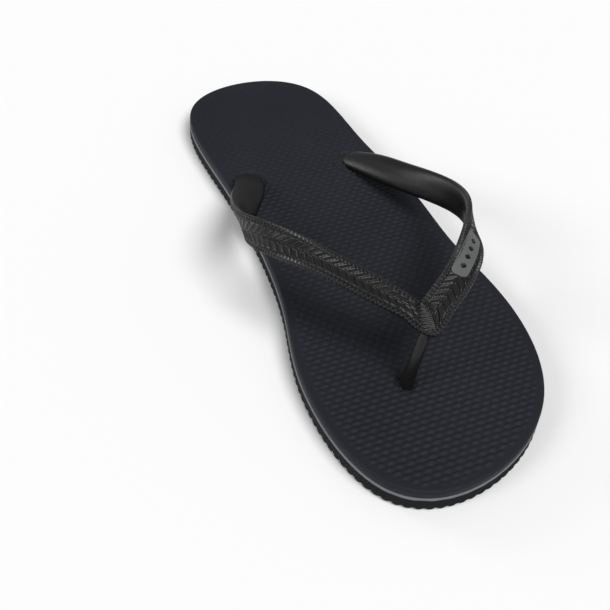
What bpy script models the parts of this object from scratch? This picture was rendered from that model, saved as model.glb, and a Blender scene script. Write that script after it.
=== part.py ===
"""Thong sandal (flip flop), left foot.

Frame: +Z up, the ground face of the tread is z = 0, the toe end points to -Y and
the outer (lateral) side of the foot is +X. The origin is on the ground face at
the middle of the length. Units are metres; the tables below are in millimetres.

The rubber sole and strap bend as they are worn. Here each is a set of rigid
segments: the heel part of the sole carries the strap anchors, the toe part folds
about the ball of the foot, the strap swings on its two anchors and the toe post
leans on its own foot.
"""
import math

import bmesh
import bpy
import numpy as np
from mathutils import Vector

MM = 0.001

# Layers of the sole, heights above the ground face.
OUTSOLE_TOP = 5.8 * MM
STRIPE_BOTTOM = 6.1 * MM
STRIPE_TOP = 7.8 * MM
FOOTBED_BOTTOM = 8.1 * MM
FOOTBED_TOP = 11.8 * MM
FOOTBED_ROUND = 1.3 * MM
TREAD_CHAMFER = 1.0 * MM

# Outline of the sole in plan, once round from the heel by the outer side.
OUTLINE_STATIONS = (
    (2, 141.5), (33, 124.5), (41, 74), (47.5, 26), (48.5, -16), (53, -58),
    (39.5, -112.5), (-6, -140.5), (-41.5, -129), (-52, -70), (-43, -26),
    (-40, 60), (-35.5, 127.5),
)
OUTLINE_STEPS = 6

# Fold line of the sole under the ball of the foot.
FLEX_Y = -50.0 * MM
FLEX_Z = 5.9 * MM
FLEX_RADIUS = 5.9 * MM
FLEX_GAP = 0.4 * MM
FLEX_UP = math.radians(42.0)
FLEX_DOWN = math.radians(12.0)

# Strap: the swing axis through the two anchors, and the toe post's own axis.
ANCHOR_Y = 55.0 * MM
ANCHOR_Z = 15.6 * MM
ANCHOR_X_LATERAL = 28.0 * MM
ANCHOR_X_MEDIAL = -26.0 * MM
POST_FOOT = Vector((-12.5, -88.5, 14.9)) * MM
POST_HEAD = Vector((-8.0, -85.5, 35.6)) * MM
POST_FOOT_RADIUS = 2.9 * MM
POST_HEAD_RADIUS = 2.1 * MM

STRAP_THICKNESS = 3.6 * MM
STRAP_CORNER = 1.0 * MM

# Middle line of the strap from the inner anchor over the apex to the outer one:
# x, y, z, lean of the section in degrees (0 = flat, 90 = on edge), width.
STRAP_STATIONS = (
    (-26.0, 55.0, 15.6, 150, 6.0),
    (-31.5, 44.0, 19.5, 148, 11.5),
    (-42.0, 24.0, 26.0, 140, 13.8),
    (-52.0, 0.0, 36.0, 105, 13.6),
    (-49.5, -18.0, 44.0, 64, 13.4),
    (-37.0, -41.5, 48.0, 12, 13.2),
    (-19.0, -66.5, 46.0, 2, 13.2),
    (-9.5, -77.0, 43.0, 0, 14.0),
    (-4.5, -81.7, 41.0, 0, 17.5),
    (3.0, -79.0, 43.0, 0, 14.0),
    (20.5, -65.0, 47.5, 12, 13.2),
    (38.0, -39.5, 44.5, 66, 13.2),
    (45.5, -11.5, 36.0, 105, 13.6),
    (38.5, 19.5, 26.0, 140, 13.8),
    (32.0, 43.0, 19.5, 148, 11.5),
    (28.0, 55.0, 15.6, 150, 6.0),
)
STRAP_STEPS = 4

# Raised mark on the outer arm, as a stretch of the strap's middle line.
BADGE_START = 9.75
BADGE_END = 10.75
BADGE_WIDTH = 8.0 * MM
BADGE_THICKNESS = 0.7 * MM
BADGE_GAP = 0.35 * MM

# Anchoring plugs under the sole, in their wells.
PLUG_RADIUS = 8.0 * MM
PLUG_BOTTOM = 1.2 * MM
PLUG_TOP = 3.6 * MM
NECK_RADIUS = 3.6 * MM
PLUG_CLEARANCE = 0.4 * MM
NECK_TOP = 11.5 * MM
ROUND_SIDES = 24


def clear_scene():
    """Start from an empty scene."""
    for item in list(bpy.data.objects):
        bpy.data.objects.remove(item, do_unlink=True)


def make_material(name, colour, roughness):
    """A plain rubber or foam material."""
    material = bpy.data.materials.new(name)
    material.use_nodes = True
    shader = material.node_tree.nodes["Principled BSDF"]
    shader.inputs["Base Color"].default_value = (*colour, 1.0)
    shader.inputs["Roughness"].default_value = roughness
    shader.inputs["Metallic"].default_value = 0.0
    material.diffuse_color = (*colour, 1.0)
    return material


def spline(points, steps, closed):
    """Cubic curve through the points, with `steps` pieces between neighbours."""
    knots = np.array(points, dtype=float)
    count = len(knots)
    if closed:
        knots = np.vstack([knots[-3:], knots, knots[:4]])
    spans = np.sqrt(np.linalg.norm(np.diff(knots[:, :2], axis=0), axis=1))
    station = np.concatenate([[0.0], np.cumsum(spans)])
    size = len(knots)
    system = np.zeros((size, size))
    target = np.zeros((size, knots.shape[1]))
    system[0, 0] = 1.0
    system[-1, -1] = 1.0
    for i in range(1, size - 1):
        before = station[i] - station[i - 1]
        after = station[i + 1] - station[i]
        system[i, i - 1] = before
        system[i, i] = 2.0 * (before + after)
        system[i, i + 1] = after
        rise = (knots[i + 1] - knots[i]) / after
        fall = (knots[i] - knots[i - 1]) / before
        target[i] = 6.0 * (rise - fall)
    bend = np.linalg.solve(system, target)
    first = 3 if closed else 0
    last = first + (count if closed else count - 1)
    curve = []
    for i in range(first, last):
        width = station[i + 1] - station[i]
        for step in range(steps):
            b = step / steps
            a = 1.0 - b
            point = a * knots[i] + b * knots[i + 1]
            point = point + ((a**3 - a) * bend[i] + (b**3 - b) * bend[i + 1]) * width**2 / 6.0
            curve.append(point)
    if not closed:
        curve.append(knots[-1])
    return np.array(curve)


def sole_outline(inset):
    """The plan outline of the sole, moved inwards by `inset`."""
    curve = spline(OUTLINE_STATIONS, OUTLINE_STEPS, True) * MM
    tangent = np.roll(curve, -1, axis=0) - np.roll(curve, 1, axis=0)
    tangent /= np.linalg.norm(tangent, axis=1)[:, None]
    # The outline runs clockwise seen from above, so inwards is to the right.
    inward = np.column_stack([tangent[:, 1], -tangent[:, 0]])
    return curve + inward * inset


def new_object(name, mesh_builder, material):
    """Link a mesh object built from a bmesh."""
    bmesh.ops.recalc_face_normals(mesh_builder, faces=mesh_builder.faces)
    mesh = bpy.data.meshes.new(name)
    mesh_builder.to_mesh(mesh)
    mesh_builder.free()
    if material:
        mesh.materials.append(material)
    item = bpy.data.objects.new(name, mesh)
    bpy.context.scene.collection.objects.link(item)
    return item


def loft(rings):
    """A closed body through rings of equal length, with flat end caps."""
    builder = bmesh.new()
    rows = []
    for ring in rings:
        rows.append([builder.verts.new(point) for point in ring])
    for lower, upper in zip(rows, rows[1:]):
        for i in range(len(lower)):
            j = (i + 1) % len(lower)
            builder.faces.new((lower[i], lower[j], upper[j], upper[i]))
    builder.faces.new(list(reversed(rows[0])))
    builder.faces.new(rows[-1])
    return builder


def layer_rings(levels):
    """Rings of a sole layer, from (inset, height) pairs."""
    rings = []
    for inset, height in levels:
        rings.append([(x, y, height) for x, y in sole_outline(inset)])
    return rings


def side_profile_cutter(name, profile):
    """A bar across the sole whose side view is the (y, z) profile."""
    rings = []
    for x in (-0.1, 0.1):
        rings.append([(x, y, z) for y, z in profile])
    cutter = new_object(name, loft(rings), None)
    hide_guide(cutter)
    return cutter


def hide_guide(item):
    """Mark an object as a cutter."""
    item.hide_render = True
    item.display_type = 'WIRE'


def flex_point(radius, angle):
    """A point round the fold line; angle 0 points to the toe, 90 degrees up."""
    return (FLEX_Y - radius * math.cos(angle), FLEX_Z + radius * math.sin(angle))


def heel_side_profile():
    """Side view of the heel part: a round nose on the fold line."""
    profile = [(0.2, -0.01), (0.2, 0.03), (FLEX_Y, 0.03)]
    steps = 12
    for step in range(steps + 1):
        angle = math.radians(90.0 - 180.0 * step / steps)
        profile.append(flex_point(FLEX_RADIUS, angle))
    profile.append((FLEX_Y, -0.01))
    return profile


def toe_side_profile():
    """Side view of the toe part: a hollow that the round nose turns in."""
    radius = FLEX_RADIUS + FLEX_GAP
    top = math.pi / 2 - FLEX_UP
    bottom = -(math.pi / 2 - FLEX_DOWN)
    profile = [(-0.2, 0.03), (-0.2, -0.01), (flex_point(radius, bottom)[0], -0.01)]
    steps = 10
    for step in range(steps + 1):
        angle = bottom + (top - bottom) * step / steps
        profile.append(flex_point(radius, angle))
    profile.append((flex_point(radius, top)[0], 0.03))
    return profile


def add_boolean(item, cutter, operation):
    """Add an exact Boolean of the cutter to the item."""
    modifier = item.modifiers.new(cutter.name, 'BOOLEAN')
    modifier.operation = operation
    modifier.solver = 'EXACT'
    modifier.object = cutter


def round_cutter(name, centre, radius, bottom, top):
    """An upright round cutter."""
    cutter = new_object(name, round_body(centre, [(radius, bottom), (radius, top)]), None)
    hide_guide(cutter)
    return cutter


def round_body(centre, levels):
    """An upright turned body from (radius, height) pairs."""
    rings = []
    for radius, height in levels:
        ring = []
        for side in range(ROUND_SIDES):
            angle = 2.0 * math.pi * side / ROUND_SIDES
            x = centre[0] + radius * math.cos(angle)
            y = centre[1] + radius * math.sin(angle)
            ring.append((x, y, height))
        rings.append(ring)
    return loft(rings)


def make_layer(name, levels, half_cutter, cutters, material):
    """One half of one layer of the sole."""
    item = new_object(name, loft(layer_rings(levels)), material)
    add_boolean(item, half_cutter, 'INTERSECT')
    for cutter in cutters:
        add_boolean(item, cutter, 'DIFFERENCE')
    return item


def make_sole(materials):
    """The three bonded layers, each in a toe half and a heel half."""
    halves = {
        "front": side_profile_cutter("toe_side", toe_side_profile()),
        "rear": side_profile_cutter("heel_side", heel_side_profile()),
    }
    plugs = {
        "front": [("toe", (POST_FOOT.x, POST_FOOT.y))],
        "rear": [
            ("medial", (ANCHOR_X_MEDIAL, ANCHOR_Y)),
            ("lateral", (ANCHOR_X_LATERAL, ANCHOR_Y)),
        ],
    }
    outsole_levels = [(TREAD_CHAMFER, 0.0), (0.0, 1.2 * MM), (0.0, OUTSOLE_TOP)]
    stripe_levels = [(0.0, STRIPE_BOTTOM), (0.0, STRIPE_TOP)]
    footbed_levels = [
        (0.0, FOOTBED_BOTTOM),
        (0.0, FOOTBED_TOP - FOOTBED_ROUND),
        (0.3 * FOOTBED_ROUND, FOOTBED_TOP - 0.3 * FOOTBED_ROUND),
        (FOOTBED_ROUND, FOOTBED_TOP),
    ]
    for half, half_cutter in halves.items():
        holes = []
        wells = []
        for label, centre in plugs[half]:
            hole_radius = NECK_RADIUS + PLUG_CLEARANCE
            well_radius = PLUG_RADIUS + PLUG_CLEARANCE
            well_top = PLUG_TOP + PLUG_CLEARANCE
            holes.append(round_cutter("hole_" + label, centre, hole_radius, -0.01, 0.03))
            wells.append(round_cutter("well_" + label, centre, well_radius, -0.01, well_top))
        make_layer("outsole_" + half, outsole_levels, half_cutter, wells + holes, materials["outsole"])
        make_layer("stripe_" + half, stripe_levels, half_cutter, holes, materials["stripe"])
        make_layer("footbed_" + half, footbed_levels, half_cutter, holes, materials["footbed"])


def make_plug(name, centre, material):
    """A mushroom-shaped plug: a flat button in its well and a neck up the hole."""
    levels = [
        (PLUG_RADIUS - 0.8 * MM, PLUG_BOTTOM),
        (PLUG_RADIUS, PLUG_BOTTOM + 0.8 * MM),
        (PLUG_RADIUS, PLUG_TOP),
        (NECK_RADIUS, PLUG_TOP + 0.01 * MM),
        (NECK_RADIUS, NECK_TOP),
    ]
    return new_object(name, round_body(centre, levels), material)


def strap_frames():
    """Centre, width direction, outward normal and width along the strap."""
    rows = spline(STRAP_STATIONS, STRAP_STEPS, False)
    centres = rows[:, :3] * MM
    leans = np.radians(rows[:, 3])
    widths = rows[:, 4] * MM
    along = np.gradient(centres, axis=0)
    frames = []
    for i, centre in enumerate(centres):
        forward = Vector(along[i]).normalized()
        # Walking from the inner anchor to the outer one, the foot is to the left.
        outward = Vector((forward.y, -forward.x, 0.0)).normalized()
        upward = outward.cross(forward)
        if upward.z < 0.0:
            upward.negate()
        across = -outward * math.cos(leans[i]) + upward * math.sin(leans[i])
        normal = upward * math.cos(leans[i]) + outward * math.sin(leans[i])
        frames.append((Vector(centre), across, normal, widths[i]))
    return frames


def strap_section(frame, low, high, half_width, corner):
    """A chamfered rectangle between two heights over the strap's middle surface."""
    centre, across, normal, _ = frame
    corners = (
        (half_width - corner, low), (half_width, low + corner),
        (half_width, high - corner), (half_width - corner, high),
        (-half_width + corner, high), (-half_width, high - corner),
        (-half_width, low + corner), (-half_width + corner, low),
    )
    return [centre + across * a + normal * b for a, b in corners]


def make_strap(material):
    """The V-shaped strap in one sweep, with rounded anchor ends."""
    frames = strap_frames()
    half = STRAP_THICKNESS / 2
    rings = []
    for frame in frames:
        rings.append(strap_section(frame, -half, half, frame[3] / 2, STRAP_CORNER))
    strap = new_object("strap_yoke", loft(rings), material)
    return strap


def make_badge(material):
    """A plain raised mark that follows the outer arm."""
    frames = strap_frames()
    first = round(BADGE_START * STRAP_STEPS)
    last = round(BADGE_END * STRAP_STEPS)
    low = STRAP_THICKNESS / 2 + BADGE_GAP
    high = low + BADGE_THICKNESS
    rings = []
    for frame in frames[first:last + 1]:
        rings.append(strap_section(frame, low, high, BADGE_WIDTH / 2, 0.2 * MM))
    return new_object("strap_badge", loft(rings), material)


def make_toe_post(material):
    """A round tapered post with ball ends, leaning back to the apex."""
    axis = POST_HEAD - POST_FOOT
    length = axis.length
    turn = axis.to_track_quat('Z', 'Y')
    levels = []
    for step in range(1, 6):
        angle = math.radians(90.0 - 18.0 * step)
        levels.append((POST_FOOT_RADIUS * math.cos(angle), -POST_FOOT_RADIUS * math.sin(angle)))
    for step in range(1, 5):
        share = step / 5
        bow = 1.0 - 0.35 * math.sin(math.pi * share) * 0.4
        radius = POST_FOOT_RADIUS + (POST_HEAD_RADIUS - POST_FOOT_RADIUS) * share
        levels.append((radius * bow, length * share))
    for step in range(0, 5):
        angle = math.radians(18.0 * step)
        levels.append((POST_HEAD_RADIUS * math.cos(angle), length + POST_HEAD_RADIUS * math.sin(angle)))
    builder = round_body((0.0, 0.0), levels)
    for vert in builder.verts:
        vert.co = turn @ vert.co
    post = new_object("toe_post", builder, material)
    post.location = POST_FOOT
    return post


def shade(item):
    """Smooth shading with crisp edges."""
    item.data.shade_smooth()
    item.data.set_sharp_from_angle(angle=math.radians(35.0))


def hang(item, joint_name, place):
    """Parent an item to an empty on its joint axis."""
    pivot = bpy.data.objects.get(joint_name)
    if pivot is None:
        pivot = bpy.data.objects.new(joint_name, None)
        pivot.location = place
        bpy.context.scene.collection.objects.link(pivot)
    item.parent = pivot
    item.location = item.location - Vector(place)


def main():
    clear_scene()
    materials = {
        "footbed": make_material("footbed_foam", (0.016, 0.019, 0.026), 0.85),
        "stripe": make_material("stripe_foam", (0.24, 0.25, 0.27), 0.7),
        "outsole": make_material("outsole_rubber", (0.010, 0.011, 0.013), 0.65),
        "strap": make_material("strap_rubber", (0.018, 0.018, 0.019), 0.42),
        "badge": make_material("badge_ink", (0.36, 0.37, 0.38), 0.5),
    }
    make_sole(materials)
    make_plug("toe_plug", (POST_FOOT.x, POST_FOOT.y), materials["strap"])
    make_plug("side_plug_medial", (ANCHOR_X_MEDIAL, ANCHOR_Y), materials["strap"])
    make_plug("side_plug_lateral", (ANCHOR_X_LATERAL, ANCHOR_Y), materials["strap"])
    make_strap(materials["strap"])
    make_badge(materials["badge"])
    make_toe_post(materials["strap"])

    flex = (0.0, FLEX_Y, FLEX_Z)
    swing = (0.0, ANCHOR_Y, ANCHOR_Z)
    for name in ("footbed_front", "stripe_front", "outsole_front", "toe_plug"):
        hang(bpy.data.objects[name], "sole_flex_axis", flex)
    for name in ("strap_yoke", "strap_badge"):
        hang(bpy.data.objects[name], "strap_swing_axis", swing)
    for item in bpy.data.objects:
        if item.type == 'MESH' and not item.hide_render:
            shade(item)


main()
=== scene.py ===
"""Looks of a left thong sandal: foam footbed with a grain of small raised lenses,
grey stripe, ribbed outsole with a tread, and a V strap with a herringbone face.

Lengths in the tables are millimetres; the scene is in metres.
"""
import math

import bmesh
import bpy
import numpy as np
from mathutils import Matrix, Vector
from mathutils.geometry import delaunay_2d_cdt


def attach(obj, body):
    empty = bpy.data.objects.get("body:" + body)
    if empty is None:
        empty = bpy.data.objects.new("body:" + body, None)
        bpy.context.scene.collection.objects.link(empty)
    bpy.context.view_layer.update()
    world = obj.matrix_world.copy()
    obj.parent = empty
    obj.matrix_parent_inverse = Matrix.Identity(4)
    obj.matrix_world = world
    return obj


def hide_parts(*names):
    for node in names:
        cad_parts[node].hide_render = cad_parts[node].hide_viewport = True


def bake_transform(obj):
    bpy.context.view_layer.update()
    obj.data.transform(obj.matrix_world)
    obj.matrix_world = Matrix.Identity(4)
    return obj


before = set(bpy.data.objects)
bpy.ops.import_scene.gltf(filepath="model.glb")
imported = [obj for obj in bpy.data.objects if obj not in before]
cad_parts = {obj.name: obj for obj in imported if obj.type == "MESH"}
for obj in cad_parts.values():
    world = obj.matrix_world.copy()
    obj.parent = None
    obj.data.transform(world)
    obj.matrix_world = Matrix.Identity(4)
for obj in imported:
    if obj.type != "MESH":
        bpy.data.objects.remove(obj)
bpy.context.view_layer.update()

MM = 0.001
HEEL, TOE, STRAP, POST = "sole_heel", "sole_toe", "strap", "post"

# Outline of the sole in plan, once round from the heel by the outer side.
OUTLINE = (
    (2, 141.5), (33, 124.5), (41, 74), (47.5, 26), (48.5, -16), (53, -58),
    (39.5, -112.5), (-6, -140.5), (-41.5, -129), (-52, -70), (-43, -26),
    (-40, 60), (-35.5, 127.5),
)
TOP = 11.8
# Grain: rows of lenses, staggered by half a pitch.
GRAIN_ACROSS = 4.7
GRAIN_ALONG = 2.7
LENS_HALF = (2.05, 1.0)
LENS_HEIGHT = 0.75
RIM = 3.2
WELL_RADIUS = 8.6
WELLS = {
    "toe_plug": (-12.5, -88.5),
    "side_plug_medial": (-26.0, 55.0),
    "side_plug_lateral": (28.0, 55.0),
}
# The foam dips where the toe post and the two arms go in: centre, radius, depth.
TOE_DIP = ((-12.5, -88.5), 3.9, 0.4)
ARM_DIPS = (((-27.4, 56.5), 7.5, 0.5), ((25.6, 56.5), 7.5, 0.5))
TREAD_PITCH = 4.5
TREAD_DEPTH = 1.2
WALL_RIB_PITCH = 1.2
WALL_RIB_DEPTH = 0.3

# Strap: the notch of the V, and the arms from the apex to the anchors as
# x, y, z, lean in degrees (0 flat, 90 on edge) and width.
NOTCH = (-3.9, -72.9)
APEX_SIDE = {1: -52.0, -1: -148.0}
APEX_REACH = {1: 15.2, -1: 12.9}
LATERAL_ARM = (
    (20.5, -65.0, 47.5, 12, 13.0), (38.0, -39.5, 44.5, 68, 13.2),
    (45.5, -11.5, 36.0, 105, 13.8), (38.5, 19.5, 26.0, 140, 14.2),
    (31.5, 42.0, 19.0, 150, 13.4), (25.2, 62.0, 10.7, 158, 9.0),
)
MEDIAL_ARM = (
    (-19.0, -66.5, 46.0, 2, 13.2), (-37.0, -41.5, 48.0, 14, 13.2),
    (-49.5, -18.0, 44.0, 66, 13.6), (-51.5, 0.0, 36.5, 105, 14.0),
    (-42.5, 24.0, 27.0, 146, 15.0), (-32.5, 44.0, 19.5, 168, 14.6),
    (-27.0, 62.0, 10.9, 172, 13.6),
)
NOTCH_RADIUS = 1.3
APEX_HEIGHT = 43.2
# How far the inner and the outer edge dip on the V's line of symmetry.
APEX_SLOPE = (0.7, 3.2)
FAN_STEPS = 40
STRAP_THICKNESS = 3.4
STRAP_STEP = 0.27
# Relief of its face: two columns of slanting bars between two rows of edge teeth,
# and a ladder of short bars at the apex.
RIB_HEIGHT = 0.85
RIB_PITCH = 3.7
RIB_SLOPE = 0.85
TOOTH_PITCH = 1.85
EDGE_TOOTH = 2.0
LADDER_PITCH = 1.65

# Badge: a bar with rounded corners and a row of lozenge windows. It is centred
# BADGE_START from the apex along the strap, and BADGE_ACROSS of the way over it.
BADGE_LENGTH = 27.0
BADGE_WIDTH = 7.4
BADGE_CORNER = 2.2
BADGE_START = 38.0
BADGE_ACROSS = 0.53
WINDOWS = 4
WINDOW_PITCH = 5.4
WINDOW_HALF = (1.5, 1.35)
WINDOW_POWER = 1.4


# ---------------------------------------------------------------- curves

def spline(points, steps, closed):
    """Natural cubic curve through the points."""
    knots = np.array(points, dtype=float)
    count = len(knots)
    if closed:
        knots = np.vstack([knots[-3:], knots, knots[:4]])
    spans = np.sqrt(np.linalg.norm(np.diff(knots[:, :2], axis=0), axis=1))
    station = np.concatenate([[0.0], np.cumsum(spans)])
    size = len(knots)
    system = np.eye(size)
    target = np.zeros((size, knots.shape[1]))
    for i in range(1, size - 1):
        before, after = spans[i - 1], spans[i]
        system[i, i - 1:i + 2] = before, 2.0 * (before + after), after
        target[i] = 6.0 * ((knots[i + 1] - knots[i]) / after - (knots[i] - knots[i - 1]) / before)
    bend = np.linalg.solve(system, target)
    first = 3 if closed else 0
    last = first + (count if closed else count - 1)
    curve = []
    for i in range(first, last):
        width = station[i + 1] - station[i]
        for step in range(steps):
            b = step / steps
            a = 1.0 - b
            point = a * knots[i] + b * knots[i + 1]
            curve.append(point + ((a**3 - a) * bend[i] + (b**3 - b) * bend[i + 1]) * width**2 / 6.0)
    if not closed:
        curve.append(knots[-1])
    return np.array(curve)


def arc_length(curve):
    """Distance along a polyline."""
    return np.concatenate([[0.0], np.cumsum(np.linalg.norm(np.diff(curve, axis=0), axis=1))])


def smoothstep(low, high, value):
    t = np.clip((np.asarray(value, float) - low) / (high - low), 0.0, 1.0)
    return t * t * (3.0 - 2.0 * t)


class Outline:
    """The sole's edge in plan, read by distance round it."""

    def __init__(self):
        curve = spline(OUTLINE, 40, True)
        closed = np.vstack([curve, curve[:1]])
        self.station = arc_length(closed)
        self.length = self.station[-1]
        self.points = closed
        tangent = np.roll(curve, -1, axis=0) - np.roll(curve, 1, axis=0)
        tangent /= np.linalg.norm(tangent, axis=1)[:, None]
        inward = np.column_stack([tangent[:, 1], -tangent[:, 0]])
        self.inward = np.vstack([inward, inward[:1]])

    def at(self, station, inset):
        """Points at a distance round the edge, moved inwards by one inset or one each."""
        s = np.mod(station, self.length)
        columns = []
        for k in range(2):
            place = np.interp(s, self.station, self.points[:, k])
            normal = np.interp(s, self.station, self.inward[:, k])
            columns.append(place + normal * inset)
        return np.column_stack(columns)

    def nearest(self, points):
        """Signed distance inside the edge and the distance round it, for each point."""
        a = self.points[:-1]
        d = np.diff(self.points, axis=0)
        square = (d * d).sum(1)
        depth = np.empty(len(points))
        place = np.empty(len(points))
        for low in range(0, len(points), 4000):
            p = points[low:low + 4000]
            rel = p[:, None, :] - a[None]
            t = np.clip((rel * d).sum(2) / square, 0.0, 1.0)
            gap = rel - d * t[..., None]
            dist = (gap * gap).sum(2)
            k = dist.argmin(1)
            row = np.arange(len(p))
            g = gap[row, k]
            side = np.sign(d[k, 1] * g[:, 0] - d[k, 0] * g[:, 1])
            depth[low:low + 4000] = np.sqrt(dist[row, k]) * side
            place[low:low + 4000] = self.station[k] + t[row, k] * np.sqrt(square[k])
        return depth, place


EDGE = Outline()


# ---------------------------------------------------------------- meshes

def add_mesh(name, points, faces, material, sharp=None):
    """A smooth-shaded mesh object from points in millimetres."""
    mesh = bpy.data.meshes.new(name)
    mesh.from_pydata((np.asarray(points) * MM).tolist(), [], faces)
    mesh.update()
    mesh.shade_smooth()
    if sharp:
        mesh.set_sharp_from_angle(angle=math.radians(sharp))
    mesh.materials.append(material)
    item = bpy.data.objects.new(name, mesh)
    bpy.context.scene.collection.objects.link(item)
    return item


def edit_mesh(item):
    """An edit copy of an object's mesh."""
    mesh = bmesh.new()
    mesh.from_mesh(item.data)
    return mesh


def write_mesh(item, mesh, sharp=None):
    """Writes an edit copy back, with its faces turned outwards."""
    bmesh.ops.recalc_face_normals(mesh, faces=mesh.faces)
    mesh.to_mesh(item.data)
    mesh.free()
    item.data.shade_smooth()
    if sharp:
        item.data.set_sharp_from_angle(angle=math.radians(sharp))


def loop_band(near, far):
    """Quads between two loops of the same count."""
    faces = []
    for k in range(len(near)):
        m = (k + 1) % len(near)
        faces.append((near[m], near[k], far[k], far[m]))
    return faces


def tube_faces(rings, sides):
    """Faces of a tube of rings laid one after another, closed at both ends."""
    faces = []
    for r in range(rings - 1):
        for k in range(sides):
            m = (k + 1) % sides
            faces.append((r * sides + k, r * sides + m, (r + 1) * sides + m, (r + 1) * sides + k))
    faces.append(tuple(range(sides - 1, -1, -1)))
    faces.append(tuple(range((rings - 1) * sides, rings * sides)))
    return faces


def free_edges(triangles):
    """Edges used by one triangle only."""
    border = {}
    for corners in triangles:
        for k in range(3):
            a, b = corners[k], corners[(k + 1) % 3]
            if (b, a) in border:
                del border[(b, a)]
            else:
                border[(a, b)] = True
    return border


def grid_cells(spacing, inset, holes):
    """Square cells inside the sole's edge and outside round holes."""
    dx, dy = spacing
    columns = np.arange(math.floor(-58 / dx), math.ceil(58 / dx) + 1)
    rows = np.arange(math.floor(-146 / dy), math.ceil(146 / dy) + 1)
    gx, gy = np.meshgrid(columns * dx, rows * dy)
    flat = np.column_stack([gx.ravel(), gy.ravel()])
    depth, place = EDGE.nearest(flat)
    keep = depth > inset + 0.4 * max(dx, dy)
    for (x, y), radius in holes:
        keep &= np.hypot(flat[:, 0] - x, flat[:, 1] - y) > radius + 0.4 * max(dx, dy)
    keep = keep.reshape(gx.shape)
    cell = keep[:-1, :-1] & keep[1:, :-1] & keep[:-1, 1:] & keep[1:, 1:]
    width = len(columns)
    j, i = np.nonzero(cell)
    corner = j * width + i
    quads = np.column_stack([corner, corner + 1, corner + width + 1, corner + width])
    used, index = np.unique(quads, return_inverse=True)
    return flat[used], depth[used], index.reshape(quads.shape)


def open_loops(quads):
    """Chains of edges with a face on one side only."""
    edges = {}
    for quad in quads.tolist():
        for k in range(4):
            a, b = quad[k], quad[(k + 1) % 4]
            if (b, a) in edges:
                del edges[(b, a)]
            else:
                edges[(a, b)] = True
    follow = {}
    for a, b in edges:
        follow.setdefault(a, []).append(b)
    loops = []
    while follow:
        start = next(iter(follow))
        loop = [start]
        here = follow[start].pop()
        if not follow[start]:
            del follow[start]
        while here != start:
            loop.append(here)
            ahead = follow[here].pop()
            if not follow[here]:
                del follow[here]
            here = ahead
        loops.append(loop)
    return loops


def monotone(values, period):
    """Values round a loop, unwrapped so that they never turn back."""
    step = np.diff(values, append=values[:1])
    step = (step + period / 2) % period - period / 2
    sign = 1.0 if step.sum() > 0 else -1.0
    run = np.concatenate([[0.0], np.cumsum(step * sign)[:-1]])
    run = np.maximum.accumulate(run)
    return values[0] + sign * run


def zip_rings(near, near_at, far, far_at):
    """Triangles between two loops with different counts, matched by distance."""
    way = 1.0 if near_at[-1] > near_at[0] else -1.0
    a = np.append(near_at, near_at[0] + way * EDGE.length) * way
    b = np.append(far_at, far_at[0] + way * EDGE.length) * way
    faces = []
    i = j = 0
    while i < len(near) or j < len(far):
        here, there = near[i % len(near)], far[j % len(far)]
        if j == len(far) or (i < len(near) and a[i + 1] <= b[j + 1]):
            i += 1
            faces.append((near[i % len(near)], here, there))
        else:
            j += 1
            faces.append((here, there, far[j % len(far)]))
    return faces


def hole_at(centre, count, holes):
    """The round hole that a border loop goes round, or None for the outer border."""
    for (x, y), radius in holes:
        if math.hypot(centre[0] - x, centre[1] - y) < 2.0 and count < 400:
            return (x, y), radius
    return None


def hole_rings(loop_points, hole, profile):
    """Rings down the wall of a round hole from (reach, height) pairs."""
    (x, y), radius = hole
    angle = monotone(np.arctan2(loop_points[:, 1] - y, loop_points[:, 0] - x), 2 * math.pi)
    rings = []
    for reach, height in profile:
        r = radius + reach
        level = np.full(len(angle), height)
        rings.append(np.column_stack([x + r * np.cos(angle), y + r * np.sin(angle), level]))
    return rings


def rim_rings(stations, rim):
    """Rings round the edge of the sole; a step is (inset, height) or a function giving both."""
    rings = []
    for step in rim:
        inset, height = step(stations) if callable(step) else step
        level = np.broadcast_to(height, len(stations))
        rings.append(np.column_stack([EDGE.at(stations, inset), level]))
    return rings


def make_slab(name, material, spacing, inset, relief, rim, holes=(), hole_profile=(), fine=None):
    """A closed layer of the sole.

    One face is a fine grid whose heights come from relief(points, depth); from the
    grid's border the surface runs through the rim's (inset, height) rings to a
    plain face on the other side. fine is the spacing along the rim where it must be
    closer than the grid's. All lengths are in millimetres.
    """
    flat, depth, quads = grid_cells(spacing, inset, holes)
    points = [np.column_stack([flat, relief(flat, depth)])]
    faces = quads.tolist()
    count = len(flat)
    caps = []
    for loop in open_loops(quads):
        ring_points = flat[loop]
        hole = hole_at(ring_points.mean(0), len(loop), holes)
        place = stations = None
        if hole:
            rings = hole_rings(ring_points, hole, hole_profile)
        else:
            place = monotone(EDGE.nearest(ring_points)[1], EDGE.length)
            stations = place
            if fine:
                turn = EDGE.length if place[-1] > place[0] else -EDGE.length
                number = int(EDGE.length / fine)
                stations = place[0] + turn * np.arange(number) / number
            rings = rim_rings(stations, rim)
        before = list(loop)
        for ring in rings:
            points.append(ring)
            after = list(range(count, count + len(ring)))
            count += len(ring)
            if len(after) == len(before):
                faces.extend(loop_band(before, after))
            else:
                faces.extend(zip_rings(before, place, after, stations))
            before = after
        caps.append(len(faces))
        faces.append(tuple(reversed(before)))
    item = add_mesh(name, np.vstack(points), faces, material)
    cut_caps(item, caps)
    return item


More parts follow.
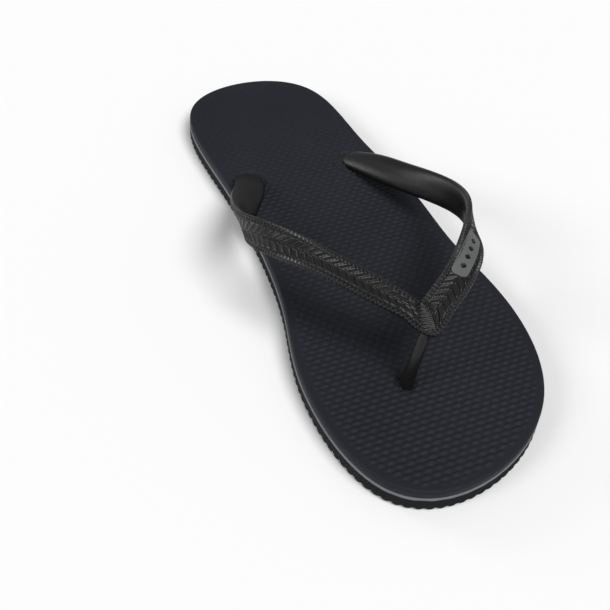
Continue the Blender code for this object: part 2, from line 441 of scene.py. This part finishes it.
def cut_caps(item, caps):
    """Cuts the large plain faces into strips across the sole where it bends."""
    mesh = edit_mesh(item)
    mesh.faces.ensure_lookup_table()
    flat = [mesh.faces[k] for k in caps]
    for y in range(-84, -15, 3):
        cut = set(flat)
        for face in flat:
            cut.update(face.edges)
            cut.update(face.verts)
        plane = {"plane_co": (0, y * MM, 0), "plane_no": (0, 1, 0)}
        made = bmesh.ops.bisect_plane(mesh, geom=list(cut), dist=1e-7, **plane)
        flat = [f for f in made["geom"] if isinstance(f, bmesh.types.BMFace)]
    write_mesh(item, mesh, sharp=50)


# ---------------------------------------------------------------- materials

def add_node(tree, kind, **values):
    node = tree.nodes.new(kind)
    for key, value in values.items():
        if hasattr(node, key):
            setattr(node, key, value)
        else:
            node.inputs[key].default_value = value
    return node


def ramp(tree, source, stops):
    """A colour ramp with the given (position, value) stops."""
    node = tree.nodes.new("ShaderNodeValToRGB")
    elements = node.color_ramp.elements
    while len(elements) < len(stops):
        elements.new(0.5)
    for element, (position, colour) in zip(elements, stops):
        element.position = position
        if isinstance(colour, float):
            colour = (colour, colour, colour)
        element.color = (*colour, 1.0)
    tree.links.new(source, node.inputs[0])
    return node.outputs[0]


def make_material(name, dark, light, rough, bumps, specular=0.5):
    """Rubber or foam: colour and roughness drift with noise, and a stack of bumps.

    rough is a (low, high) pair and bumps is (cells per metre, depth in mm) pairs.
    """
    material = bpy.data.materials.new(name)
    material.use_nodes = True
    tree = material.node_tree
    shader = tree.nodes["Principled BSDF"]
    place = add_node(tree, "ShaderNodeTexCoord").outputs["Object"]
    drift = add_node(tree, "ShaderNodeTexNoise", Scale=18.0, Detail=4.0, Roughness=0.6)
    tree.links.new(place, drift.inputs["Vector"])
    colour = ramp(tree, drift.outputs[0], [(0.3, dark), (0.7, light)])
    tree.links.new(colour, shader.inputs["Base Color"])
    fine = add_node(tree, "ShaderNodeTexNoise", Scale=900.0, Detail=3.0, Roughness=0.7)
    tree.links.new(place, fine.inputs["Vector"])
    gloss = ramp(tree, fine.outputs[0], [(0.3, rough[0]), (0.75, rough[1])])
    tree.links.new(gloss, shader.inputs["Roughness"])
    shader.inputs["Specular IOR Level"].default_value = specular
    normal = None
    for cells, depth in bumps:
        texture = add_node(tree, "ShaderNodeTexNoise", Scale=cells, Detail=2.0, Roughness=0.5)
        tree.links.new(place, texture.inputs["Vector"])
        bump = add_node(tree, "ShaderNodeBump", Strength=1.0, Distance=depth * MM)
        tree.links.new(texture.outputs[0], bump.inputs["Height"])
        if normal:
            tree.links.new(normal, bump.inputs["Normal"])
        normal = bump.outputs[0]
    if normal:
        tree.links.new(normal, shader.inputs["Normal"])
    return material


FOAM = make_material(
    "footbed_foam", (0.0115, 0.0125, 0.0170), (0.0155, 0.0168, 0.0222), (0.55, 0.72),
    [(1600.0, 0.04), (420.0, 0.04)], specular=0.16,
)
STRIPE = make_material(
    "stripe_foam", (0.13, 0.138, 0.15), (0.16, 0.17, 0.183), (0.6, 0.75), [(1500.0, 0.04)],
)
RUBBER = make_material(
    "outsole_rubber", (0.0085, 0.0090, 0.0110), (0.0125, 0.0132, 0.0155), (0.5, 0.7),
    [(1300.0, 0.05)], specular=0.2,
)
GLOVE = make_material(
    "strap_rubber", (0.0070, 0.0070, 0.0073), (0.0100, 0.0100, 0.0104), (0.30, 0.42),
    [(1800.0, 0.02), (500.0, 0.03)], specular=0.36,
)
# Inner faces of the strap: coloured darker than the strap rubber, a painted shade. The second copy, for
# the outer arm, is glossier to give a painted sheen.
SHADED_INSIDE = make_material(
    "strap_inside_painted_shade", (0.0050, 0.0050, 0.0052), (0.0072, 0.0072, 0.0075), (0.42, 0.52),
    [(1500.0, 0.02), (300.0, 0.04)], specular=0.11,
)
SHADE_AND_SHEEN_INSIDE = make_material(
    "strap_inside_painted_shade_and_sheen", (0.0050, 0.0050, 0.0052), (0.0072, 0.0072, 0.0075), (0.34, 0.42),
    [(1500.0, 0.02), (300.0, 0.04)], specular=0.28,
)
INK = make_material(
    "badge_ink", (0.079, 0.081, 0.083), (0.098, 0.100, 0.102), (0.5, 0.65), [(1500.0, 0.03)],
)


# ---------------------------------------------------------------- sole

def dip(points, centre, radius, depth):
    """A round dip in the foam with a deeper groove round its edge."""
    r = np.hypot((points[:, 0] - centre[0]) / radius, (points[:, 1] - centre[1]) / radius)
    return -depth * np.exp(-((r - 1.0) * radius / 0.8) ** 2) - depth * (r < 1.0)


def footbed_relief(points, depth):
    """Rows of small raised lenses, fading at the rim and under the heel."""
    row = np.round(points[:, 1] / GRAIN_ALONG)
    shift = np.mod(row, 2) * GRAIN_ACROSS / 2
    column = np.round((points[:, 0] - shift) / GRAIN_ACROSS)
    u = (points[:, 0] - shift - column * GRAIN_ACROSS) / LENS_HALF[0]
    v = (points[:, 1] - row * GRAIN_ALONG) / LENS_HALF[1]
    lens = np.clip(1.0 - u * u - v * v, 0.0, 1.0) ** 0.7
    # No two lenses are moulded to quite the same height.
    jitter = 0.88 + 0.12 * np.sin(row * 12.9898 + column * 78.233) * np.cos(row * 3.7 - column * 5.1)
    fade = smoothstep(RIM - 0.1, RIM + 1.1, depth)
    heel = 1.0 - 0.45 * smoothstep(40.0, 110.0, points[:, 1])
    height = TOP + LENS_HEIGHT * lens * jitter * fade * heel
    # The foam's face is slightly uneven.
    height += 0.10 * np.sin(points[:, 0] / 17.0 + 1.0) * np.cos(points[:, 1] / 23.0) * fade
    for centre, radius, deep in (TOE_DIP, *ARM_DIPS):
        height += dip(points, centre, radius, deep)
    return height


def make_footbed():
    rim = [
        (RIM, TOP), (1.8, TOP), (1.0, TOP - 0.03), (0.65, TOP - 0.12), (0.38, TOP - 0.28),
        (0.18, TOP - 0.52), (0.05, TOP - 0.85), (0.0, TOP - 1.3), (0.0, 8.3), (0.08, 7.9), (0.5, 7.76),
    ]
    spacing = (GRAIN_ACROSS / 8, GRAIN_ALONG / 7)
    return make_slab("footbed", FOAM, spacing, RIM, footbed_relief, rim)


def make_stripe():
    rim = [
        (0.6, 7.7), (0.2, 7.7), (0.02, 7.6), (-0.08, 7.3), (-0.1, 6.85),
        (-0.08, 6.4), (0.02, 6.1), (0.2, 6.0), (0.6, 6.0),
    ]
    return make_slab("stripe", STRIPE, (6.0, 3.0), 2.0, lambda p, d: np.full(len(p), 7.7), rim)


def tread_relief(points, depth):
    """Wavy grooves across the foot."""
    wave = points[:, 1] + 1.6 * np.sin(points[:, 0] * 2 * math.pi / 12.0)
    ridge = 0.5 + 0.5 * np.cos(wave * 2 * math.pi / TREAD_PITCH)
    groove = smoothstep(0.40, 0.62, 1.0 - ridge)
    fade = smoothstep(2.5, 4.5, depth)
    for centre in WELLS.values():
        r = np.hypot(points[:, 0] - centre[0], points[:, 1] - centre[1])
        fade = fade * smoothstep(WELL_RADIUS + 1.2, WELL_RADIUS + 2.2, r)
    return TREAD_DEPTH * groove * fade


def wall_ring(inset, height):
    """One ring of the ribbed side wall; the ribs lean as they go down."""
    def ring(place):
        teeth = round(EDGE.length / WALL_RIB_PITCH)
        lean = height * 0.9
        phase = (place + lean) * 2 * math.pi * teeth / EDGE.length
        fade = smoothstep(0.2, 1.0, height) * (1.0 - smoothstep(5.3, 5.8, height))
        shape = WALL_RIB_DEPTH * np.sin(phase) * fade
        scallops = round(EDGE.length / TREAD_PITCH)
        bite = 0.5 + 0.5 * np.cos(place * 2 * math.pi * scallops / EDGE.length)
        low = 1.0 - smoothstep(0.0, 2.2, height)
        lift = 0.55 * bite**2 * low
        return (inset + 0.45 * bite**2 * low - shape), height + lift
    return ring


def make_outsole():
    rim = [(2.2, 0.0), (1.5, 0.0)]
    lower = ((0.5, 0.0), (0.2, 0.15), (0.08, 0.5), (0.05, 0.9), (0.08, 1.3), (0.14, 1.8))
    upright = tuple((0.2, height) for height in (2.3, 2.7, 3.1, 3.5, 3.9, 4.3, 4.7, 5.1, 5.5))
    upper = ((0.25, 5.8), (0.6, 5.95))
    for inset, height in lower + upright + upper:
        rim.append(wall_ring(inset, height))
    holes = [(centre, WELL_RADIUS) for centre in WELLS.values()]
    profile = [(0.5, 0.0), (0.15, 0.1), (0.0, 0.5), (0.0, 3.6), (-0.4, 4.0), (-1.5, 4.0)]
    return make_slab("outsole", RUBBER, (0.9, 0.75), 2.6, tread_relief, rim, holes, profile, fine=0.28)


def turned(name, centre, profile, material, sides=48):
    """A round body about an upright axis from (radius, height) pairs."""
    points = []
    for radius, height in profile:
        for k in range(sides):
            angle = 2 * math.pi * k / sides
            x = centre[0] + radius * math.cos(angle)
            y = centre[1] + radius * math.sin(angle)
            points.append((x, y, height))
    return add_mesh(name, points, tube_faces(len(profile), sides), material, sharp=50)


def make_plugs():
    """Buttons of the strap in their wells, each with a shallow moulded ring."""
    profile = [
        (0.3, 1.5), (2.2, 1.5), (2.6, 1.2), (3.2, 1.2), (3.6, 1.5), (6.4, 1.5), (7.3, 1.65), (7.8, 2.1),
        (8.0, 2.7), (8.0, 3.3), (7.6, 3.7), (4.2, 3.8), (3.6, 4.4), (3.5, 9.0),
    ]
    plugs = []
    for node, centre in WELLS.items():
        plugs.append(turned(node.replace("plug", "button"), centre, profile, GLOVE))
    return plugs


# ---------------------------------------------------------------- strap

class Strap:
    """The V strap as a ruled surface between its two long edges."""

    def __init__(self):
        medial = self.arm(MEDIAL_ARM, -1)
        lateral = self.arm(LATERAL_ARM, 1)
        inner, outer = [], []
        for a, b in reversed(medial):
            inner.append(a)
            outer.append(b)
        for a, b in self.fan():
            inner.append(a)
            outer.append(b)
        for a, b in lateral:
            inner.append(a)
            outer.append(b)
        inner, outer = np.array(inner), np.array(outer)
        length = arc_length(outer)
        count = int(length[-1] / STRAP_STEP)
        station = np.linspace(0.0, length[-1], count)
        self.inner = np.column_stack([np.interp(station, length, inner[:, k]) for k in range(3)])
        self.outer = np.column_stack([np.interp(station, length, outer[:, k]) for k in range(3)])
        for _ in range(6):
            self.inner[1:-1] = (self.inner[:-2] + 2 * self.inner[1:-1] + self.inner[2:]) / 4
            self.outer[1:-1] = (self.outer[:-2] + 2 * self.outer[1:-1] + self.outer[2:]) / 4
        self.width = np.linalg.norm(self.inner - self.outer, axis=1)
        self.across = (self.inner - self.outer) / self.width[:, None]
        along = np.gradient(self.outer, axis=0)
        along /= np.linalg.norm(along, axis=1)[:, None]
        normal = np.cross(self.across, along)
        normal /= np.linalg.norm(normal, axis=1)[:, None]
        self.normal = normal if normal[count // 2, 2] > 0 else -normal
        for _ in range(10):
            self.normal[1:-1] = (self.normal[:-2] + 2 * self.normal[1:-1] + self.normal[2:]) / 4
        self.normal /= np.linalg.norm(self.normal, axis=1)[:, None]
        middle = (self.inner + self.outer) / 2
        self.run = arc_length(middle)
        self.outer_run = arc_length(self.outer)
        self.inner_run = arc_length(self.inner)
        apex = self.apex_index()
        for run in (self.run, self.outer_run, self.inner_run):
            run -= run[apex]

    def apex_index(self):
        """The section on the V's line of symmetry."""
        turn = np.degrees(np.arctan2(self.outer[:, 1] - NOTCH[1], self.outer[:, 0] - NOTCH[0]))
        middle = sum(APEX_SIDE.values()) / 2
        front = np.where(self.outer[:, 1] < -70.0, abs(turn - middle), 999.0)
        return int(front.argmin())

    def arm(self, stations, side):
        """Edge pairs of one arm, from the apex to the anchor."""
        turn = math.radians(APEX_SIDE[side])
        width = APEX_REACH[side] - NOTCH_RADIUS
        reach = NOTCH_RADIUS + width / 2
        x = NOTCH[0] + reach * math.cos(turn)
        y = NOTCH[1] + reach * math.sin(turn)
        rows = spline(((x, y, APEX_HEIGHT, 0.0, width),) + stations, 12, False)
        along = np.gradient(rows[:, :3], axis=0)
        pairs = []
        for row, step in zip(rows[3:], along[3:]):
            forward = Vector(step).normalized()
            outward = Vector((forward.y, -forward.x, 0.0)).normalized() * side
            upward = outward.cross(forward)
            if upward.z < 0:
                upward.negate()
            lean = math.radians(row[3])
            across = upward * math.sin(lean) - outward * math.cos(lean)
            centre = Vector(row[:3])
            pairs.append((centre + across * row[4] / 2, centre - across * row[4] / 2))
        return pairs

    def fan(self):
        """Edge pairs round the notch, from the inner arm to the outer arm."""
        low, high = math.radians(APEX_SIDE[-1]), math.radians(APEX_SIDE[1])
        pairs = []
        for step in range(1, FAN_STEPS):
            turn = low + (high - low) * step / FAN_STEPS
            reach = 0.0
            for edge, far in ((low, APEX_REACH[-1]), (high, APEX_REACH[1])):
                reach += (far / max(math.cos(turn - edge), 0.2)) ** -8
            reach = (reach + 20.0**-8) ** (-1 / 8)
            share = math.sin(math.pi * step / FAN_STEPS)
            pair = []
            for out, slope in ((NOTCH_RADIUS, APEX_SLOPE[0]), (reach, APEX_SLOPE[1])):
                x = NOTCH[0] + out * math.cos(turn)
                y = NOTCH[1] + out * math.sin(turn)
                pair.append((x, y, APEX_HEIGHT - slope * share))
            pairs.append(tuple(pair))
        return pairs

    def place(self, index, share, lift):
        """A point on section `index`: share 0 on the outer edge, 1 on the inner."""
        base = self.outer[index] + self.across[index] * (self.width[index] * share)[:, None]
        return base + self.normal[index] * lift[:, None]


def ridge(phase, duty):
    """A rounded rib once per unit of phase, filling `duty` of it."""
    x = np.abs(np.mod(phase, 1.0) - 0.5) * 2.0
    return 1.0 - smoothstep(duty - 0.18, duty + 0.18, x)


def herringbone(strap, index, share):
    """Height of the moulded face over the plain strap, 0 to 1."""
    width = strap.width[index]
    from_outer = share * width
    from_inner = width - from_outer
    away = np.abs(strap.run[index])
    half = np.maximum(width / 2 - EDGE_TOOTH - 0.35, 1.0)
    offset = from_outer - width / 2
    seam = np.minimum(np.abs(offset), half - np.abs(offset))
    phase = (away + RIB_SLOPE * np.abs(offset)) / RIB_PITCH + 0.5 * (offset > 0)
    bar = np.abs(np.mod(phase, 1.0) - 0.5) * RIB_PITCH
    edge = np.minimum(RIB_PITCH / 2 - bar, seam * 1.2)
    height = smoothstep(0.16, 0.50, edge) * (0.5 + 0.5 * (1.0 - smoothstep(0.45, 0.95, edge)))
    height = np.where(seam > 0.0, height, 0.0)
    outer_teeth = ridge(strap.outer_run[index] / TOOTH_PITCH, 0.5) * (from_outer < EDGE_TOOTH)
    inner_teeth = ridge(strap.inner_run[index] / TOOTH_PITCH, 0.5) * (from_inner < EDGE_TOOTH)
    height = np.maximum(height, np.maximum(outer_teeth, inner_teeth))
    # Ladder of short bars on the line of symmetry.
    spot = strap.place(index, share, np.zeros(len(index)))
    middle = math.radians(sum(APEX_SIDE.values()) / 2)
    x = spot[:, 0] - NOTCH[0]
    y = spot[:, 1] - NOTCH[1]
    forward = x * math.cos(middle) + y * math.sin(middle)
    sideways = np.abs(-x * math.sin(middle) + y * math.cos(middle))
    near = (away < 12.0) & (forward > 2.4) & (forward < 16.0)
    band = near & (sideways < 3.1)
    bars = ridge(forward / LADDER_PITCH, 0.5) * (1.0 - smoothstep(2.5, 2.9, sideways))
    height = np.where(band, bars, height)
    return height


def make_strap(strap):
    """The whole V strap: herringbone outside, smooth inside."""
    count = len(strap.run)
    half = STRAP_THICKNESS / 2
    surface = np.linspace(0.0, 1.0, 57)
    back = np.linspace(1.0, 0.0, 17)
    length = np.minimum(strap.run - strap.run[0], strap.run[-1] - strap.run)
    end = np.clip(length / 9.0, 0.0, 1.0)
    round_off = np.sqrt(np.clip(1.0 - (1.0 - end) ** 2, 0.0, 1.0))
    fade = smoothstep(6.0, 16.0, length)
    rows = []
    for k in range(count):
        index = np.full(len(surface), k)
        squeeze = max(round_off[k], 0.05)
        share = 0.5 + (surface - 0.5) * squeeze
        edge = np.minimum(surface, 1.0 - surface) * strap.width[k] * squeeze
        drop = 0.7 * (1.0 - smoothstep(0.0, 0.8, edge)) ** 2
        lift = (half - drop) * (0.35 + 0.65 * squeeze)
        lift = lift + RIB_HEIGHT * fade[k] * (herringbone(strap, index, share) - 0.35)
        outside = strap.place(index, share, lift)
        index = np.full(len(back), k)
        share = 0.5 + (back - 0.5) * squeeze
        edge = np.minimum(back, 1.0 - back) * strap.width[k] * squeeze
        bulge = np.sqrt(1.0 - (1.0 - np.minimum(edge / 5.5, 1.0)) ** 2)
        inside = strap.place(index, share, (half - 1.5 - 1.9 * bulge) * (0.35 + 0.65 * squeeze))
        rows.append(np.vstack([outside, inside]))
    ring = len(surface) + len(back)
    faces = []
    for k in range(count - 1):
        for i in range(ring):
            m = (i + 1) % ring
            faces.append((k * ring + i, k * ring + m, (k + 1) * ring + m, (k + 1) * ring + i))
    faces.append(tuple(range(ring)))
    last = (count - 1) * ring
    faces.append(tuple(range(last + ring - 1, last - 1, -1)))
    item = add_mesh("v_strap", np.vstack(rows), faces, GLOVE)
    write_mesh(item, edit_mesh(item))
    # The inner faces take two darker copies of the strap rubber, a painted shade: a matte one on the
    # inner arm, and a shinier one on the outer arm for a painted sheen.
    item.data.materials.append(SHADED_INSIDE)
    item.data.materials.append(SHADE_AND_SHEEN_INSIDE)
    for k, face in enumerate(item.data.polygons):
        if len(face.vertices) == 4 and k % ring >= len(surface):
            face.material_index = 2 if strap.run[k // ring] > 0.0 else 1
    return item


def badge_outline():
    """The badge's outer edge, in its own plane."""
    loop = []
    for k in range(48):
        angle = 2 * math.pi * k / 48
        c, s = math.cos(angle), math.sin(angle)
        x = (BADGE_LENGTH / 2 - BADGE_CORNER) * np.sign(c) + BADGE_CORNER * c
        y = (BADGE_WIDTH / 2 - BADGE_CORNER) * np.sign(s) + BADGE_CORNER * s
        loop.append((x, y))
    return loop


def window_outline(number):
    """The edge of one window, a lozenge with slightly bowed sides."""
    middle = (number - (WINDOWS - 1) / 2) * WINDOW_PITCH
    hole = []
    for m in range(16):
        angle = 2 * math.pi * m / 16
        c, s = math.cos(angle), math.sin(angle)
        reach = 1.0 / (abs(c) ** WINDOW_POWER + abs(s) ** WINDOW_POWER) ** (1 / WINDOW_POWER)
        hole.append((middle + WINDOW_HALF[0] * c * reach, WINDOW_HALF[1] * s * reach))
    return hole


def on_badge(x, y):
    """Whether a point lies on the bar and in none of its windows."""
    ax = max(abs(x) - (BADGE_LENGTH / 2 - BADGE_CORNER), 0)
    ay = max(abs(y) - (BADGE_WIDTH / 2 - BADGE_CORNER), 0)
    if math.hypot(ax, ay) > BADGE_CORNER:
        return False
    for k in range(WINDOWS):
        u = abs(x - (k - (WINDOWS - 1) / 2) * WINDOW_PITCH) / WINDOW_HALF[0]
        v = abs(y) / WINDOW_HALF[1]
        if u**WINDOW_POWER + v**WINDOW_POWER < 0.995:
            return False
    return True


def badge_triangles():
    """The flat badge as points and triangles, fine enough to follow the strap."""
    points = badge_outline()
    edges = [(k, (k + 1) % len(points)) for k in range(len(points))]
    for number in range(WINDOWS):
        hole = window_outline(number)
        base = len(points)
        points.extend(hole)
        edges.extend((base + k, base + (k + 1) % len(hole)) for k in range(len(hole)))
    for x in np.arange(-BADGE_LENGTH / 2 + 0.8, BADGE_LENGTH / 2, 0.8):
        for y in np.arange(-BADGE_WIDTH / 2 + 0.8, BADGE_WIDTH / 2, 0.8):
            points.append((x, y))
    made = delaunay_2d_cdt([Vector(p) for p in points], edges, [], 0, 1e-4, False)
    flat = np.array(made[0])
    return flat, [t for t in made[2] if on_badge(*flat[list(t)].mean(0))]


def make_badge(strap):
    """A plain raised bar with a row of small windows on the outer arm."""
    flat, kept = badge_triangles()
    low, high = [], []
    half = STRAP_THICKNESS / 2
    for x, y in flat:
        k = int(np.clip(np.searchsorted(strap.run, BADGE_START + x), 1, len(strap.run) - 2))
        index = np.array([k])
        share = np.array([BADGE_ACROSS - y / strap.width[k]])
        low.append(strap.place(index, share, np.array([half - 0.3]))[0])
        high.append(strap.place(index, share, np.array([half + 0.62]))[0])
    count = len(flat)
    faces = [tuple(t) for t in kept] + [tuple(count + v for v in reversed(t)) for t in kept]
    for a, b in free_edges(kept):
        faces.append((b, a, count + a, count + b))
    item = add_mesh("strap_mark", np.vstack([high, low]), faces, INK)
    mesh = edit_mesh(item)
    loose = [v for v in mesh.verts if not v.link_faces]
    bmesh.ops.delete(mesh, geom=loose, context="VERTS")
    write_mesh(item, mesh, sharp=40)
    return item


def make_post():
    """The toe post: wide at its foot, thinner where it meets the strap."""
    middle = (
        (-12.6, -88.8, 9.5), (-12.4, -88.5, 13.0), (-11.2, -88.3, 22.0),
        (-9.0, -87.4, 31.0), (-5.9, -85.2, 40.6),
    )
    path = spline(middle, 12, False)
    along = np.gradient(path, axis=0)
    rows = []
    sides = 36
    height = (path[:, 2] - TOP) / 28.0
    for centre, step, t in zip(path, along, height):
        forward = Vector(step).normalized()
        side = forward.cross(Vector((0, 1, 0))).normalized()
        back = side.cross(forward)
        taper = 0.9 * min(max(t, 0.0), 1.0) ** 0.8
        flare = 0.5 * max(t - 0.88, 0.0) / 0.12
        radius = 2.95 - taper + flare
        for k in range(sides):
            angle = 2 * math.pi * k / sides
            wide = side * radius * math.cos(angle)
            deep = back * radius * 1.12 * math.sin(angle)
            rows.append(Vector(centre) + wide + deep)
    faces = tube_faces(len(path), sides)
    return add_mesh("toe_post_rubber", [tuple(p) for p in rows], faces, GLOVE)


# ---------------------------------------------------------------- assembly

footbed = make_footbed()
stripe = make_stripe()
outsole = make_outsole()
for layer, part in ((footbed, "footbed"), (stripe, "stripe"), (outsole, "outsole")):
    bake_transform(layer)
    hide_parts(part + "_front", part + "_rear")

for button, node in zip(make_plugs(), WELLS):
    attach(button, TOE if node == "toe_plug" else HEEL)
    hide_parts(node)

shape = Strap()
v_strap = make_strap(shape)
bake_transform(v_strap)
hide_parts("strap_yoke")

badge = make_badge(shape)
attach(badge, STRAP)
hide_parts("strap_badge")

post = make_post()
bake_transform(post)
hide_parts("toe_post")


# ---------------------------------------------------------------- stage

def make_floor():
    mesh = bmesh.new()
    bmesh.ops.create_grid(mesh, x_segments=1, y_segments=1, size=4.0)
    data = bpy.data.meshes.new("floor")
    mesh.to_mesh(data)
    mesh.free()
    floor = bpy.data.objects.new("floor", data)
    floor.location.z = -0.0004
    bpy.context.scene.collection.objects.link(floor)
    material = bpy.data.materials.new("pale_floor")
    material.use_nodes = True
    shader = material.node_tree.nodes["Principled BSDF"]
    shader.inputs["Base Color"].default_value = (0.86, 0.86, 0.865, 1)
    shader.inputs["Roughness"].default_value = 0.9
    shader.inputs["Specular IOR Level"].default_value = 0.1
    data.materials.append(material)


def make_light(name, towards, spread, power):
    """A distant lamp; spread is how soft it is, in degrees."""
    data = bpy.data.lights.new(name, "SUN")
    data.angle = math.radians(spread)
    data.energy = power
    light = bpy.data.objects.new(name, data)
    light.rotation_euler = Vector(towards).to_track_quat("Z", "Y").to_euler()
    bpy.context.scene.collection.objects.link(light)


def make_camera():
    data = bpy.data.cameras.new("camera")
    data.sensor_width = 36.0
    data.lens = 57.0
    data.clip_start = 0.01
    camera = bpy.data.objects.new("camera", data)
    bpy.context.scene.collection.objects.link(camera)
    eye = Vector((-0.1647, -0.3014, 0.3150))
    back = (eye - Vector((-0.0298, -0.0225, 0.0))).normalized()
    right = Vector((0, 0, 1)).cross(back).normalized()
    roll = Matrix.Rotation(math.radians(4.9), 3, back)
    right = roll @ right
    matrix = Matrix((right, back.cross(right), back)).transposed().to_4x4()
    matrix.translation = eye
    camera.matrix_world = matrix
    bpy.context.scene.camera = camera


def make_world():
    world = bpy.data.worlds.new("studio")
    world.use_nodes = True
    tree = world.node_tree
    fill = tree.nodes["Background"]
    fill.inputs[0].default_value = (1.0, 1.0, 1.0, 1)
    fill.inputs[1].default_value = 0.30
    seen = add_node(tree, "ShaderNodeBackground", Strength=0.92)
    seen.inputs[0].default_value = (1.0, 1.0, 1.0, 1)
    rays = add_node(tree, "ShaderNodeLightPath")
    mix = add_node(tree, "ShaderNodeMixShader")
    tree.links.new(rays.outputs["Is Camera Ray"], mix.inputs[0])
    tree.links.new(fill.outputs[0], mix.inputs[1])
    tree.links.new(seen.outputs[0], mix.inputs[2])
    tree.links.new(mix.outputs[0], tree.nodes["World Output"].inputs[0])
    bpy.context.scene.world = world


make_floor()
make_light("key", (0.15, -0.42, 0.80), 32.0, 2.3)
make_light("side", (-0.75, -0.05, 0.5), 24.0, 0.9)
make_light("back", (-0.5, 0.65, 0.22), 20.0, 0.55)
make_world()
make_camera()
bpy.context.scene.view_settings.view_transform = "Standard"
